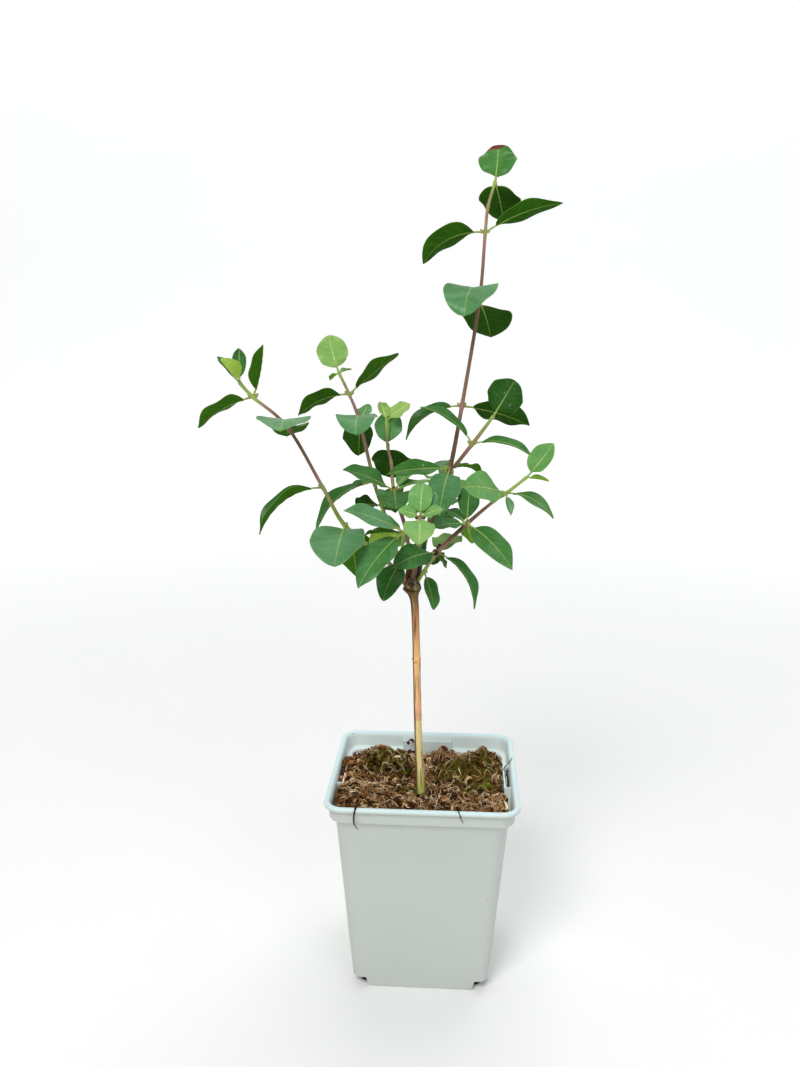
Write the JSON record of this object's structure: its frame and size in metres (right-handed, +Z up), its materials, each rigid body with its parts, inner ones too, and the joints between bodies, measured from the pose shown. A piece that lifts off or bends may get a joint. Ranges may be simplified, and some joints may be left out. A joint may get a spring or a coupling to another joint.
{
  "type": "potted honeysuckle plant",
  "caption": "Young climbing honeysuckle with paired leaves on wiry shoots above a bare woody stem, growing in compost in a tapered square nursery pot with a banded rim and notched base corners.",
  "frame": {"origin": "middle of the pot's base, on the ground", "axes": "+Z up the stem, -Y towards the side of the pot that the picture shows, +X to the right in the picture"},
  "size_m": [0.1517, 0.114, 0.3916],
  "materials": {
    "pot_plastic": "pale grey-green injection-moulded plastic, slightly satin, with a few specks of dirt",
    "compost": "dark brown fibrous coir and bark compost with patches of moss",
    "bark": "straw-coloured peeling bark, browner towards the crown",
    "leaf": "smooth waxy leaves, bluish green above with a pale midrib, on green to purple-brown stems"
  },
  "bodies": {
    "root": {"pot": "pot_plastic", "compost": "compost", "trunk": "bark", "shoot_far_left": "leaf", "shoot_mid_left": "leaf", "shoot_centre": "leaf", "shoot_tall": "leaf", "shoot_upper_right": "leaf", "shoot_right": "leaf", "shoot_front": "leaf", "shoot_front_left": "leaf", "shoot_back": "leaf"}
  },
  "joints": []
}
